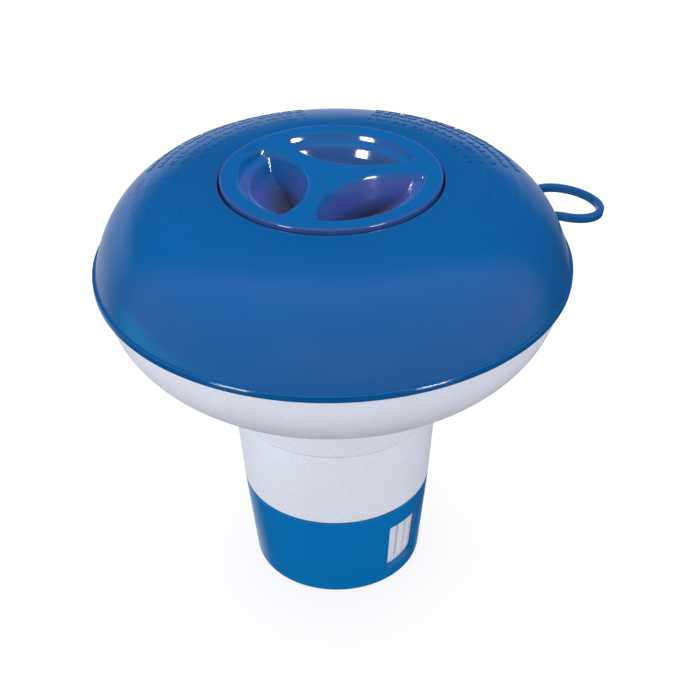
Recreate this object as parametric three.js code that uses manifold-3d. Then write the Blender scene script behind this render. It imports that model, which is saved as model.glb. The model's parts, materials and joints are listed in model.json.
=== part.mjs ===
// Floating chlorine dispenser for one-inch tablets, as an assembly of separate pieces.
// Millimetres, +Z up. The origin is on the axis, at the centre of the flow cup's underside.
import * as THREE from "three";
import { mergeVertices } from "three/addons/utils/BufferGeometryUtils.js";
import Module from "manifold-3d";

const wasm = await Module();
wasm.setup();

// ---- Driving dimensions ----
const GAP = 0.3; // left between pieces that touch
const WALL = 2.0; // moulded wall of the float and the stem
const EDGE = 0.4; // by which a moulded edge is broken
const BROAD_EDGE = 0.9; // where an edge is softer: the lid's rim, its seat and the cup's foot

// Float: the dome above and the hull below, meeting at the flange
const FLANGE_RADIUS = 63.5;
const FLANGE_BOTTOM = 97.3;
const FLANGE_TOP = 99.4;
const FLANGE_LEDGE = 0.7; // how far the flange stands out from the foot of the dome
const DOME_TOP = 122.5;
const DOME_CROWN_RADIUS = 31.0;
const DOME_OUTER_PULL = [[59.05, 113.5], [51.7, 122.0]]; // control points of the curve outside
const DOME_INNER_FOOT = 60.7;
const DOME_INNER_PULL = [[50.4, 119.4], [57.0, 112.2]]; // and of the curve inside
const HULL_RIM_RADIUS = 61.3;
const HULL_SIDE_BOTTOM = 95.8; // the hull's wall is upright above this and curves in below
const HULL_FLOOR = 69.6;
const HULL_FLOOR_RADIUS = 27.0; // where the curve of the hull would reach its floor
const HULL_FILLET = 3.0; // between the hull's underside and its collar
const TONGUE_INSET = 1.0; // of the hull's tongue, which fits inside the dome's foot
const TONGUE_WALL = 1.4;
const TONGUE_HEIGHT = 2.4;
const COLLAR_TOP_RADIUS = 29.4; // where the fillet ends
const COLLAR_RADIUS = 28.8; // at its foot
const COLLAR_BOTTOM = 53.3;

// Throat: the tube that the tablets go down, open at the lid's seat
const THROAT_RADIUS = 23.2;
const THROAT_WALL = 1.8;
const THROAT_BOTTOM = 69.9;
const SEAT_HEIGHT = 119.4;
const SEAT_RADIUS = 29.2;

// Lid thread: three starts, each a ledge in the throat over a lug on the lid
const THREAD_STARTS = 3;
const THREAD_LEAD = 30.0; // rise in one full turn
const LEDGE_SWEEP = 75; // degrees
const LUG_SWEEP = 30;
const LUG_START = 2; // degrees from a ledge's low end to the low end of the lug under it
const THREAD_HEIGHT = 1.5;
const LEDGE_BOTTOM = 111.2; // at the low end of each ledge
const THREAD_CLEARANCE = 0.35;
const LEDGE_INNER_RADIUS = 22.0;
const LUG_OUTER_RADIUS = 22.9;

// Lid
const LID_RADIUS = 28.8;
const LID_TOP = 123.5;
const LID_UNDERSIDE = 120.8;
const SKIRT_RADIUS = 21.6;
const SKIRT_WALL = 1.7;
const SKIRT_BOTTOM = 108.9;
const GASKET_INNER_RADIUS = 25.2;
const GASKET_OUTER_RADIUS = 27.8;
const WELL_COUNT = 3;
const WELL_AZIMUTH = 70; // degrees, of the middle of the first finger well
const WELL_OUTER_RADIUS = 24.2;
const WELL_INNER_REACH = 6.2; // from the axis to the nearest point of a well
const WELL_INNER_ARC = 22.2;
const WELL_DRAFT = 2.4; // depth over width of the wall on the grip's side
const WELL_FLOOR = [ // radius, and depth below the lid's top, out to where the lip begins
  [0, 11.0],
  [9.6, 10.5],
  [14.2, 8.8],
  [18.6, 6.3],
  [20.1, 4.6],
  [20.8, 2.2],
  [23.4, 1.8],
];
const WELL_SHELL = 1.6;

// Stem basket and flow cup
const STEM_RADIUS = 28.6; // at its top, just under the collar
const BASKET_SPIGOT_RADIUS = 25.3;
const BASKET_TOP = 67.2;
const BASKET_STEP = 28.3; // where the stem steps in to make room for the cup
const BASKET_FLOOR = 2.6;
const BASKET_FOOT_RADIUS = 22.6;
const BASKET_NECK_RADIUS = 25.15; // just under the step
const CUP_TOP = 27.9;
const CUP_TOP_RADIUS = 26.85;
const CUP_FOOT_RADIUS = 24.2;
const CUP_WALL = 1.3;
const CUP_FLOOR = 1.8;
const WINDOW_AZIMUTH = -40; // degrees
const WINDOW_SWEEP = 31;
const WINDOW_BOTTOM = 4.5;
const WINDOW_TOP = 21.3;
const WINDOW_COUNT = 2;
const SLOTS_PER_WINDOW = 4;
const SLOT_PITCH = 9; // degrees
const SLOT_WIDTH = 1.2;
const SLOT_MARGIN = 0.8; // from each end of a slot to the edge of the window
const FLOW_TRAVEL = 40; // degrees that the cup turns from open to shut
const FLOW_SPARE = 9.5; // degrees that the slot in the cup runs past the peg at each end
const PEG_RADIUS = 1.1;
const PEG_ORBIT = 9.0;
const PEG_AZIMUTH = 180;
const PEG_BOTTOM = 0.7;
const PEG_CLEARANCE = 0.4;
const DRAIN_COUNT = 6;
const DRAIN_ORBIT = 14.5;
const DRAIN_RADIUS = 2.2; // in the basket; the cup's are wider
const CUP_DRAIN_RADIUS = 2.6;
const HUB_RADIUS = 3.0; // the pin in the cup's floor that holds it to the basket
const HUB_CLEARANCE = 0.4;
const HUB_OVERHANG = 1.1; // how far the pin's head stands out
const HUB_HEAD_HEIGHT = 1.4;
const BOSS_RADIUS = 5.4; // of the ring on the basket's floor that the head rests over
const BOSS_HEIGHT = 1.9;

// Tether loop
const LOOP_AZIMUTH = 25; // degrees
const LOOP_RADIUS = 11.1;
const LOOP_WIDTH = 2.0;
const LOOP_THICKNESS = 2.2;
const LOOP_CENTRE = 10.2; // from the flange's edge to the middle of the eye
const LOOP_DROOP = 10; // degrees below level
const LOOP_OUTER_END = 128; // degrees round from the tip, where each edge turns to the root
const LOOP_INNER_END = 124;
const LOOP_ROOT_OUTER = 8.3; // half widths of the root
const LOOP_ROOT_INNER = 6.6;

// Tablets, one inch across
const TABLET_RADIUS = 12.7;
const TABLET_HEIGHT = 15.0;
const TABLET_CHAMFER = 1.2;
const TABLET_SEGMENTS = 24;
const TABLET_FLOOR = 8.7;
const TABLET_OFFSETS = [
  [3.0, -2.0],
  [-3.5, 2.5],
  [2.5, 3.5],
];

const FINE = 48; // segments of a full turn on the float
const COARSE = 36; // and on the smaller pieces
const HOLE_SEGMENTS = 12;
const ROOT = 0.5; // how far one shape is sunk into another that it joins
const PAST = 1.0; // how far a cutting shape runs past the face it cuts

// ---- Materials ----
const BLUE = { color: 0x1c5f9e, roughness: 0.28, metalness: 0 };
const CUP_BLUE = { color: 0x0a66a8, roughness: 0.3, metalness: 0 };
const WHITE = { color: 0xdde1ea, roughness: 0.55, metalness: 0 };
const RUBBER = { color: 0x2a2c30, roughness: 0.8, metalness: 0 };
const CHLORINE = { color: 0xf2f3ee, roughness: 0.9, metalness: 0 };

// ---- Helpers ----
const radians = THREE.MathUtils.degToRad;

// A closed geometry as a solid that can be joined and cut.
function solidOf(geometry) {
  const bare = new THREE.BufferGeometry();
  bare.setAttribute("position", geometry.getAttribute("position"));
  bare.setIndex(geometry.index);
  const merged = mergeVertices(bare, 1e-4);
  const corners = merged.index.array;
  const triVerts = [];
  for (let i = 0; i < corners.length; i += 3) {
    const [a, b, c] = corners.slice(i, i + 3);
    if (a !== b && b !== c && c !== a) triVerts.push(a, b, c);
  }
  return new wasm.Manifold(
    new wasm.Mesh({
      numProp: 3,
      vertProperties: merged.attributes.position.array,
      triVerts: new Uint32Array(triVerts),
    }),
  );
}

// The surface of a solid, as a geometry.
function geometryOf(solid) {
  const mesh = solid.getMesh();
  const geometry = new THREE.BufferGeometry();
  const positions = new THREE.BufferAttribute(mesh.vertProperties, 3);
  geometry.setAttribute("position", positions);
  geometry.setIndex(new THREE.BufferAttribute(mesh.triVerts, 1));
  geometry.computeVertexNormals();
  return geometry;
}

function namedMesh(name, geometry, look) {
  const mesh = new THREE.Mesh(geometry, new THREE.MeshStandardMaterial(look));
  mesh.name = name;
  return mesh;
}

// Turns an outline of [radius, height] points about the Z axis.
function revolve(outline, segments) {
  const points = outline.map(([radius, height]) => new THREE.Vector2(radius, height));
  if (THREE.ShapeUtils.area(points) < 0) points.reverse();
  if (points[0].x > 0) points.push(points[0].clone());
  const geometry = new THREE.LatheGeometry(points, segments);
  return geometry.rotateX(Math.PI / 2);
}

// A block bent round the Z axis. Its height may climb with the angle, as a thread does.
function bentBlock({ inner, outer, start, sweep, bottom, height, lead = 0, steps = 6 }) {
  const geometry = new THREE.BoxGeometry(sweep, outer - inner, height, steps, 1, 1);
  const position = geometry.getAttribute("position");
  for (let i = 0; i < position.count; i += 1) {
    const along = position.getX(i) + sweep / 2;
    const angle = radians(start + along);
    const radius = (inner + outer) / 2 - position.getY(i);
    const z = bottom + height / 2 + position.getZ(i) + (lead * along) / 360;
    position.setXYZ(i, radius * Math.cos(angle), radius * Math.sin(angle), z);
  }
  return geometry;
}

function upright(radius, bottom, top, azimuth, orbit, sides) {
  const geometry = new THREE.CylinderGeometry(radius, radius, top - bottom, sides);
  geometry.rotateX(Math.PI / 2);
  const angle = radians(azimuth);
  geometry.translate(orbit * Math.cos(angle), orbit * Math.sin(angle), (top + bottom) / 2);
  return geometry;
}

// Points on an arc about (x, y), from one angle in degrees to another.
function arc(x, y, radius, from, to, steps) {
  const points = [];
  for (let i = 0; i <= steps; i += 1) {
    const angle = radians(from + ((to - from) * i) / steps);
    points.push([x + radius * Math.cos(angle), y + radius * Math.sin(angle)]);
  }
  return points;
}

function bezier(start, startHandle, endHandle, end, steps) {
  const ends = [start, startHandle, endHandle, end].map(([x, y]) => new THREE.Vector2(x, y));
  return new THREE.CubicBezierCurve(...ends).getPoints(steps).map((p) => [p.x, p.y]);
}

// ---- Float ----

// The three ledges in the throat that hold the lid's lugs down.
function threadLedges() {
  const ledges = [];
  for (let k = 0; k < THREAD_STARTS; k += 1) {
    ledges.push(
      bentBlock({
        inner: LEDGE_INNER_RADIUS,
        outer: THROAT_RADIUS + ROOT,
        start: (360 / THREAD_STARTS) * k,
        sweep: LEDGE_SWEEP,
        bottom: LEDGE_BOTTOM,
        height: THREAD_HEIGHT,
        lead: THREAD_LEAD,
        steps: 10,
      }),
    );
  }
  return ledges;
}

// Blue upper shell in one moulding: dome, flange, the lid's seat and the throat below it.
function floatDome() {
  const foot = FLANGE_RADIUS - FLANGE_LEDGE;
  const crown = [DOME_CROWN_RADIUS, DOME_TOP];
  const outside = bezier([foot, FLANGE_TOP], ...DOME_OUTER_PULL, crown, 10);
  const innerCrown = [SEAT_RADIUS + WALL, DOME_TOP - WALL];
  const inside = bezier(innerCrown, ...DOME_INNER_PULL, [DOME_INNER_FOOT, FLANGE_TOP], 6);
  const tubeOuter = THROAT_RADIUS + THROAT_WALL;
  const seatUnderside = SEAT_HEIGHT - THROAT_WALL;
  const outline = [
    [FLANGE_RADIUS - EDGE, FLANGE_BOTTOM],
    [FLANGE_RADIUS, FLANGE_BOTTOM + EDGE],
    [FLANGE_RADIUS, FLANGE_TOP - EDGE],
    [FLANGE_RADIUS - EDGE / 2, FLANGE_TOP - EDGE / 6],
    ...outside,
    [SEAT_RADIUS + EDGE, DOME_TOP - EDGE / 2],
    [SEAT_RADIUS, DOME_TOP - BROAD_EDGE],
    [SEAT_RADIUS, SEAT_HEIGHT],
    [THROAT_RADIUS, SEAT_HEIGHT],
    [THROAT_RADIUS, THROAT_BOTTOM],
    [tubeOuter, THROAT_BOTTOM],
    [tubeOuter, seatUnderside],
    [SEAT_RADIUS + WALL, seatUnderside],
    ...inside,
    [DOME_INNER_FOOT, FLANGE_BOTTOM],
  ];
  let shell = solidOf(revolve(outline, FINE));
  for (const ledge of threadLedges()) shell = shell.add(solidOf(ledge));
  return namedMesh("float_dome", geometryOf(shell), BLUE);
}

// White lower shell: a bowl with a tongue inside the dome's foot and a collar for the basket.
function floatHull() {
  const bowlWidth = HULL_RIM_RADIUS - HULL_FLOOR_RADIUS;
  const bowlDepth = HULL_SIDE_BOTTOM - HULL_FLOOR;
  const filletX = COLLAR_TOP_RADIUS + HULL_FILLET;
  const filletStart = Math.acos((filletX - HULL_FLOOR_RADIUS) / bowlWidth);
  const curve = (steps) => arc(0, 0, 1, 0, THREE.MathUtils.radToDeg(filletStart), steps);
  // Part of an ellipse from the upright wall, `inset` inside the outer face, towards the floor.
  const bowl = (inset, steps) => curve(steps).map(([x, y]) => [
    HULL_FLOOR_RADIUS + (bowlWidth - inset) * x,
    HULL_SIDE_BOTTOM - (bowlDepth - inset) * y,
  ]);
  const outside = bowl(0, 9);
  const inside = bowl(WALL, 6);
  const filletY = outside[outside.length - 1][1] - HULL_FILLET;
  const fillet = arc(filletX, filletY, HULL_FILLET, 90, 180, 3);
  const rimTop = FLANGE_BOTTOM - GAP;
  const tongueOuter = HULL_RIM_RADIUS - TONGUE_INSET;
  const tongueInner = tongueOuter - TONGUE_WALL;
  const tongueTop = FLANGE_BOTTOM + TONGUE_HEIGHT;
  const socketRadius = BASKET_SPIGOT_RADIUS + GAP;
  const ledgeTop = THROAT_BOTTOM - GAP;
  const tubeSeat = THROAT_RADIUS + THROAT_WALL + GAP;
  const outline = [
    [HULL_RIM_RADIUS, rimTop],
    ...outside,
    ...fillet.slice(1),
    [COLLAR_RADIUS, COLLAR_BOTTOM + EDGE / 2],
    [COLLAR_RADIUS - EDGE / 2, COLLAR_BOTTOM],
    [socketRadius, COLLAR_BOTTOM],
    [socketRadius, BASKET_TOP + GAP],
    [THROAT_RADIUS, BASKET_TOP + GAP],
    [THROAT_RADIUS, ledgeTop],
    [tubeSeat, ledgeTop],
    [tubeSeat, HULL_FLOOR + WALL],
    ...inside.reverse(),
    [tongueInner, rimTop],
    [tongueInner, tongueTop],
    [tongueOuter, tongueTop],
    [tongueOuter, rimTop],
  ];
  return namedMesh("float_hull", revolve(outline, FINE), WHITE);
}

// Flat loop that stands out from the flange's edge, for a tie-down line.
function tetherLoop() {
  const inner = LOOP_RADIUS - LOOP_WIDTH;
  const corners = [
    [0, -LOOP_ROOT_OUTER],
    ...arc(LOOP_CENTRE, 0, LOOP_RADIUS, -LOOP_OUTER_END, LOOP_OUTER_END, 28),
    [0, LOOP_ROOT_OUTER],
    [0.2, LOOP_ROOT_INNER],
    ...arc(LOOP_CENTRE, 0, inner, LOOP_INNER_END, -LOOP_INNER_END, 28),
    [0.2, -LOOP_ROOT_INNER],
  ];
  const shape = new THREE.Shape(corners.map(([x, y]) => new THREE.Vector2(x, y)));
  const flat = new THREE.ExtrudeGeometry(shape, {
    depth: LOOP_THICKNESS,
    bevelEnabled: false,
    steps: 1,
  });
  flat.translate(0, 0, -LOOP_THICKNESS / 2);
  const loop = namedMesh("tether_loop", flat, BLUE);
  loop.position.set(FLANGE_RADIUS, 0, (FLANGE_BOTTOM + FLANGE_TOP) / 2);
  loop.rotation.y = radians(LOOP_DROOP);
  const swung = new THREE.Group();
  swung.rotation.z = radians(LOOP_AZIMUTH);
  swung.add(loop);
  return swung;
}

// ---- Lid ----

// A bowl round the lid's axis, and a cone round the centre of a well's inner arc: where they
// share space is one finger well. `grow` makes it larger all round, for the shell beneath.
function fingerWell(azimuth, grow, top) {
  const floor = WELL_FLOOR.map(([radius, depth]) => [
    radius > 0 ? radius + grow : 0,
    LID_TOP - depth - grow,
  ]);
  const bowl = [
    ...floor,
    [WELL_OUTER_RADIUS + grow, LID_TOP - grow],
    [WELL_OUTER_RADIUS + grow, top],
    [0, top],
  ];
  const depth = WELL_FLOOR[0][1] + 2 * WELL_SHELL; // of the cone, past the shell's underside
  const tip = WELL_INNER_ARC + grow - depth / WELL_DRAFT;
  const cone = [
    [0, LID_TOP - depth],
    [tip, LID_TOP - depth],
    [WELL_INNER_ARC + grow, LID_TOP],
    [WELL_INNER_ARC + grow, top + PAST],
    [0, top + PAST],
  ];
  const shift = radians(azimuth);
  const orbit = WELL_INNER_REACH + WELL_INNER_ARC;
  const side = revolve(cone, COARSE);
  side.translate(orbit * Math.cos(shift), orbit * Math.sin(shift), 0);
  return solidOf(revolve(bowl, COARSE)).intersect(solidOf(side));
}

// The lugs on the skirt, each under a ledge of the throat.
function lidLugs() {
  const lugs = [];
  const climb = (THREAD_LEAD * LUG_START) / 360;
  for (let k = 0; k < THREAD_STARTS; k += 1) {
    lugs.push(
      bentBlock({
        inner: SKIRT_RADIUS - ROOT,
        outer: LUG_OUTER_RADIUS,
        start: (360 / THREAD_STARTS) * k + LUG_START,
        sweep: LUG_SWEEP,
        bottom: LEDGE_BOTTOM + climb - THREAD_CLEARANCE - THREAD_HEIGHT,
        height: THREAD_HEIGHT,
        lead: THREAD_LEAD,
      }),
    );
  }
  return lugs;
}

// Twist lid: a disc with three finger wells that leave a three-armed grip, and a lugged skirt.
function lid() {
  const disc = [
    [0, LID_UNDERSIDE],
    [LID_RADIUS - EDGE, LID_UNDERSIDE],
    [LID_RADIUS, LID_UNDERSIDE + EDGE],
    [LID_RADIUS, LID_TOP - BROAD_EDGE],
    [LID_RADIUS - BROAD_EDGE / 3, LID_TOP - BROAD_EDGE / 3],
    [LID_RADIUS - BROAD_EDGE, LID_TOP],
    [0, LID_TOP],
  ];
  const skirt = [
    [SKIRT_RADIUS - SKIRT_WALL, SKIRT_BOTTOM],
    [SKIRT_RADIUS, SKIRT_BOTTOM],
    [SKIRT_RADIUS, LID_UNDERSIDE + ROOT],
    [SKIRT_RADIUS - SKIRT_WALL, LID_UNDERSIDE + ROOT],
  ];
  const core = upright(SKIRT_RADIUS, SKIRT_BOTTOM, LID_UNDERSIDE + ROOT, 0, 0, COARSE);
  let body = solidOf(revolve(disc, COARSE)).add(solidOf(revolve(skirt, COARSE)));
  const azimuths = [];
  for (let k = 0; k < WELL_COUNT; k += 1) azimuths.push(WELL_AZIMUTH + (360 / WELL_COUNT) * k);
  for (const azimuth of azimuths) {
    const shell = fingerWell(azimuth, WELL_SHELL, LID_TOP - PAST);
    body = body.add(shell.intersect(solidOf(core)));
  }
  for (const azimuth of azimuths) body = body.subtract(fingerWell(azimuth, 0, LID_TOP + PAST));
  for (const lug of lidLugs()) body = body.add(solidOf(lug));
  return namedMesh("lid", geometryOf(body), BLUE);
}

// Flat ring seal between the lid and its seat.
function lidGasket() {
  const outline = [
    [GASKET_INNER_RADIUS, SEAT_HEIGHT + GAP],
    [GASKET_OUTER_RADIUS, SEAT_HEIGHT + GAP],
    [GASKET_OUTER_RADIUS, LID_UNDERSIDE - GAP],
    [GASKET_INNER_RADIUS, LID_UNDERSIDE - GAP],
  ];
  return namedMesh("lid_gasket", revolve(outline, COARSE), RUBBER);
}

// ---- Stem and flow cup ----

// The middle of each window in the cup, in degrees.
function windowAzimuths() {
  const azimuths = [];
  for (let k = 0; k < WINDOW_COUNT; k += 1) azimuths.push(WINDOW_AZIMUTH + (360 / WINDOW_COUNT) * k);
  return azimuths;
}

// A drain hole's core, from one height to another.
function hole(radius, bottom, top, azimuth) {
  return solidOf(upright(radius, bottom, top, azimuth, DRAIN_ORBIT, HOLE_SEGMENTS));
}

// White tube that holds the tablets: a spigot in the hull's collar, and a slotted foot.
function stemBasket() {
  const bore = HUB_RADIUS + HUB_CLEARANCE;
  const inside = BASKET_SPIGOT_RADIUS - WALL;
  const floorTop = BASKET_FLOOR + WALL;
  const outline = [
    [bore, BASKET_FLOOR],
    [BASKET_FOOT_RADIUS - EDGE, BASKET_FLOOR],
    [BASKET_FOOT_RADIUS, BASKET_FLOOR + EDGE],
    [BASKET_NECK_RADIUS, BASKET_STEP],
    [CUP_TOP_RADIUS, BASKET_STEP],
    [STEM_RADIUS, COLLAR_BOTTOM - GAP],
    [BASKET_SPIGOT_RADIUS, COLLAR_BOTTOM - GAP],
    [BASKET_SPIGOT_RADIUS, BASKET_TOP - EDGE],
    [BASKET_SPIGOT_RADIUS - EDGE, BASKET_TOP],
    [inside, BASKET_TOP],
    [inside, BASKET_STEP + 1],
    [BASKET_FOOT_RADIUS - WALL + EDGE, floorTop],
    [BOSS_RADIUS, floorTop],
    [BOSS_RADIUS, floorTop + BOSS_HEIGHT],
    [bore, floorTop + BOSS_HEIGHT],
  ];
  let body = solidOf(revolve(outline, COARSE));
  const sweep = THREE.MathUtils.radToDeg(SLOT_WIDTH / BASKET_FOOT_RADIUS);
  for (const azimuth of windowAzimuths()) {
    for (let k = 0; k < SLOTS_PER_WINDOW; k += 1) {
      const middle = azimuth + (k - (SLOTS_PER_WINDOW - 1) / 2) * SLOT_PITCH;
      const slot = bentBlock({
        inner: BASKET_FOOT_RADIUS - 2 * WALL,
        outer: BASKET_NECK_RADIUS + PAST,
        start: middle - sweep / 2,
        sweep,
        bottom: WINDOW_BOTTOM + SLOT_MARGIN,
        height: WINDOW_TOP - WINDOW_BOTTOM - 2 * SLOT_MARGIN,
        steps: 1,
      });
      body = body.subtract(solidOf(slot));
    }
  }
  for (let k = 0; k < DRAIN_COUNT; k += 1) {
    const azimuth = (360 / DRAIN_COUNT) * k;
    body = body.subtract(hole(DRAIN_RADIUS, BASKET_FLOOR - PAST, floorTop + PAST, azimuth));
  }
  const pegTop = BASKET_FLOOR + ROOT;
  const peg = upright(PEG_RADIUS, PEG_BOTTOM, pegTop, PEG_AZIMUTH, PEG_ORBIT, HOLE_SEGMENTS);
  body = body.add(solidOf(peg));
  return namedMesh("stem_basket", geometryOf(body), WHITE);
}

// Blue cup that turns on the basket's foot to open or shut the slots behind its windows.
function flowCup() {
  const headBottom = BASKET_FLOOR + WALL + BOSS_HEIGHT + HUB_CLEARANCE;
  const headRadius = HUB_RADIUS + HUB_OVERHANG;
  const headTop = headBottom + HUB_HEAD_HEIGHT;
  const outline = [
    [0, 0],
    [CUP_FOOT_RADIUS - BROAD_EDGE, 0],
    [CUP_FOOT_RADIUS, BROAD_EDGE],
    [CUP_TOP_RADIUS, CUP_TOP - EDGE],
    [CUP_TOP_RADIUS - EDGE / 2, CUP_TOP],
    [CUP_TOP_RADIUS - CUP_WALL, CUP_TOP],
    [CUP_FOOT_RADIUS - CUP_WALL, CUP_FLOOR],
    [HUB_RADIUS, CUP_FLOOR],
    [HUB_RADIUS, headBottom],
    [headRadius, headBottom],
    [headRadius, headTop - BROAD_EDGE],
    [headRadius - BROAD_EDGE, headTop],
    [0, headTop],
  ];
  let body = solidOf(revolve(outline, COARSE));
  for (const azimuth of windowAzimuths()) {
    const opening = bentBlock({
      inner: CUP_FOOT_RADIUS - 2 * CUP_WALL,
      outer: CUP_TOP_RADIUS + PAST,
      start: azimuth - WINDOW_SWEEP / 2,
      sweep: WINDOW_SWEEP,
      bottom: WINDOW_BOTTOM,
      height: WINDOW_TOP - WINDOW_BOTTOM,
    });
    body = body.subtract(solidOf(opening));
  }
  for (let k = 0; k < DRAIN_COUNT; k += 1) {
    const azimuth = (360 / DRAIN_COUNT) * k;
    body = body.subtract(hole(CUP_DRAIN_RADIUS, -PAST, CUP_FLOOR + PAST, azimuth));
  }
  const reach = PEG_RADIUS + PEG_CLEARANCE;
  const pegSlot = bentBlock({
    inner: PEG_ORBIT - reach,
    outer: PEG_ORBIT + reach,
    start: PEG_AZIMUTH - FLOW_TRAVEL - FLOW_SPARE,
    sweep: FLOW_TRAVEL + 2 * FLOW_SPARE,
    bottom: -PAST,
    height: CUP_FLOOR + 2 * PAST,
  });
  body = body.subtract(solidOf(pegSlot));
  return namedMesh("flow_cup", geometryOf(body), CUP_BLUE);
}

// ---- Tablets ----

function tablets() {
  const outline = [
    [0, 0],
    [TABLET_RADIUS - TABLET_CHAMFER, 0],
    [TABLET_RADIUS, TABLET_CHAMFER],
    [TABLET_RADIUS, TABLET_HEIGHT - TABLET_CHAMFER],
    [TABLET_RADIUS - TABLET_CHAMFER, TABLET_HEIGHT],
    [0, TABLET_HEIGHT],
  ];
  return TABLET_OFFSETS.map(([x, y], k) => {
    const shape = revolve(outline, TABLET_SEGMENTS);
    const tablet = namedMesh(`tablet_${k + 1}`, shape, CHLORINE);
    tablet.position.set(x, y, TABLET_FLOOR + k * (TABLET_HEIGHT + GAP));
    return tablet;
  });
}

const dispenser = new THREE.Group();
dispenser.add(floatDome(), floatHull(), tetherLoop());
dispenser.add(lid(), lidGasket());
dispenser.add(stemBasket(), flowCup());
dispenser.add(...tablets());

export default dispenser;
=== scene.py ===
"""Looks for the floating chlorine dispenser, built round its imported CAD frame.

Shapes are drawn in millimetres, in the frame's own axes, and turned into metres by place().
"""

import json
import math

import bmesh
import bpy
import numpy as np
from mathutils import Matrix, Vector


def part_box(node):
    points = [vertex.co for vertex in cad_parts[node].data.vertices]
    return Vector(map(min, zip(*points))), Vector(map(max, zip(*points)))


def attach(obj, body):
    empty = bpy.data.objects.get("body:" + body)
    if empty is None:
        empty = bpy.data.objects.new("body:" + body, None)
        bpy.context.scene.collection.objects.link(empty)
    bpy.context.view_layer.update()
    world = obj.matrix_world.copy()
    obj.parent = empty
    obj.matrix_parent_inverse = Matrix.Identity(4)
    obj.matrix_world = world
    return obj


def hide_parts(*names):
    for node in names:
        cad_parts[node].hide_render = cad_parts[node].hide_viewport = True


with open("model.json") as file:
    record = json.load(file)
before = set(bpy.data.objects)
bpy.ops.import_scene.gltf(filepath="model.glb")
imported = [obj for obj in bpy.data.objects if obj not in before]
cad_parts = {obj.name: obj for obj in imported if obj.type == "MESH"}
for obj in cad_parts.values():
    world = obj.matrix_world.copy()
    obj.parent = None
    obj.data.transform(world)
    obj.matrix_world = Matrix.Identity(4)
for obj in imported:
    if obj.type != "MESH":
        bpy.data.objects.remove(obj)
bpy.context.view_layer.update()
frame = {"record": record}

MM = 0.001


def corners(node):
    """The lowest and highest corners of a CAD node, in millimetres."""
    low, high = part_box(node)
    return np.array(low) / MM, np.array(high) / MM


dome_low, dome_high = corners("float_dome")
hull_low, hull_high = corners("float_hull")
lid_low, lid_high = corners("lid")
seal_low, seal_high = corners("lid_gasket")
basket_low, basket_high = corners("stem_basket")
cup_low, cup_high = corners("flow_cup")
eye = next(m for m in frame["record"]["mounts"] if m["name"] == "tether_eye")
eye_centre = np.array(eye["pos_m"]) / MM

# ---- Driving dimensions, in millimetres ----
GAP = 0.3  # left between pieces that touch
WALL = 2.0  # moulded wall of the float and the stem
ROOT = 0.5  # how far one shape is sunk into another that it joins
PAST = 1.0  # how far a cutting shape runs past the face it cuts

FLANGE_RADIUS = dome_high[0]
FLANGE_BOTTOM = 97.3
FLANGE_TOP = 99.4
FLANGE_LEDGE = 0.7  # how far the flange stands out from the foot of the dome
DOME_TOP = dome_high[2]
DOME_CROWN_RADIUS = 31.0
DOME_PULL = (59.05, 113.5), (51.7, 122.0)  # control points of the curve outside
DOME_INNER_PULL = (50.4, 119.4), (57.0, 112.2)  # and of the curve inside
DOME_INNER_FOOT = 60.7
THROAT_RADIUS = 23.2
THROAT_WALL = 1.8
THROAT_BOTTOM = dome_low[2]
SEAT_HEIGHT = seal_low[2] - GAP
SEAT_RADIUS = 29.2

HULL_RIM_RADIUS = hull_high[0]
HULL_SIDE_BOTTOM = 95.8  # the wall is upright above this and curves in below
HULL_FLOOR = 69.6
HULL_FLOOR_RADIUS = 27.0  # where the curve of the hull would reach its floor
HULL_FILLET = 3.0
TONGUE_INSET = 1.0
TONGUE_WALL = 1.4
COLLAR_TOP_RADIUS = 29.4  # where the fillet ends
COLLAR_RADIUS = 28.8  # at its foot
COLLAR_BOTTOM = hull_low[2]

LID_RADIUS = lid_high[0]
LID_TOP = lid_high[2]
LID_UNDERSIDE = seal_high[2] + GAP
LID_FLAT_RADIUS = 27.6  # where the rim's rounding takes over from the top
GASKET_INNER_RADIUS = 25.2
SKIRT_RADIUS = 21.6
SKIRT_WALL = 1.7
SKIRT_BOTTOM = lid_low[2]
WELL_AZIMUTHS = (70, 190, 310)
WELL_RADIUS = 24.2
WELL_FLOOR = (  # radius, and depth below the lid's top
    (0, 11.0),
    (5.0, 10.9),
    (9.6, 10.5),
    (14.2, 8.8),
    (17.0, 7.3),
    (18.6, 6.3),
    (19.3, 5.6),
    (19.75, 4.95),
    (20.65, 3.2),
    (20.9, 2.75),
    (21.3, 2.35),
    (22.0, 2.1),
    (23.1, 1.9),
    (23.38, 1.6),
    (WELL_RADIUS, 0),
    (WELL_RADIUS + 1, -1.96),
)
WELL_INNER_REACH = 6.2  # from the axis to the nearest point of a well
WELL_INNER_ARC = 22.2
WELL_DRAFT = 2.4  # depth over width of the wall on the grip's side
WELL_SHELL = 1.6
# The wells' painted shade ends at a cone just beneath them, so that the underside keeps the lid's
# blue.
WELL_CONE_SLOPE = 0.7  # rise over radius
WELL_CONE_DEPTH = 19.6  # of its tip, below the lid's top

THREAD_STARTS = 3
THREAD_LEAD = 30.0  # rise in one full turn
THREAD_HEIGHT = 1.5
THREAD_EDGE = 0.35
THREAD_CLEARANCE = 0.35
LEDGE_BOTTOM = 111.2  # at the low end of each ledge
LEDGE_SWEEP = 75  # degrees
LEDGE_INNER_RADIUS = 22.0
LUG_START = 2  # degrees from a ledge's low end to the low end of the lug under it
LUG_SWEEP = 30
LUG_OUTER_RADIUS = 22.9

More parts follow.
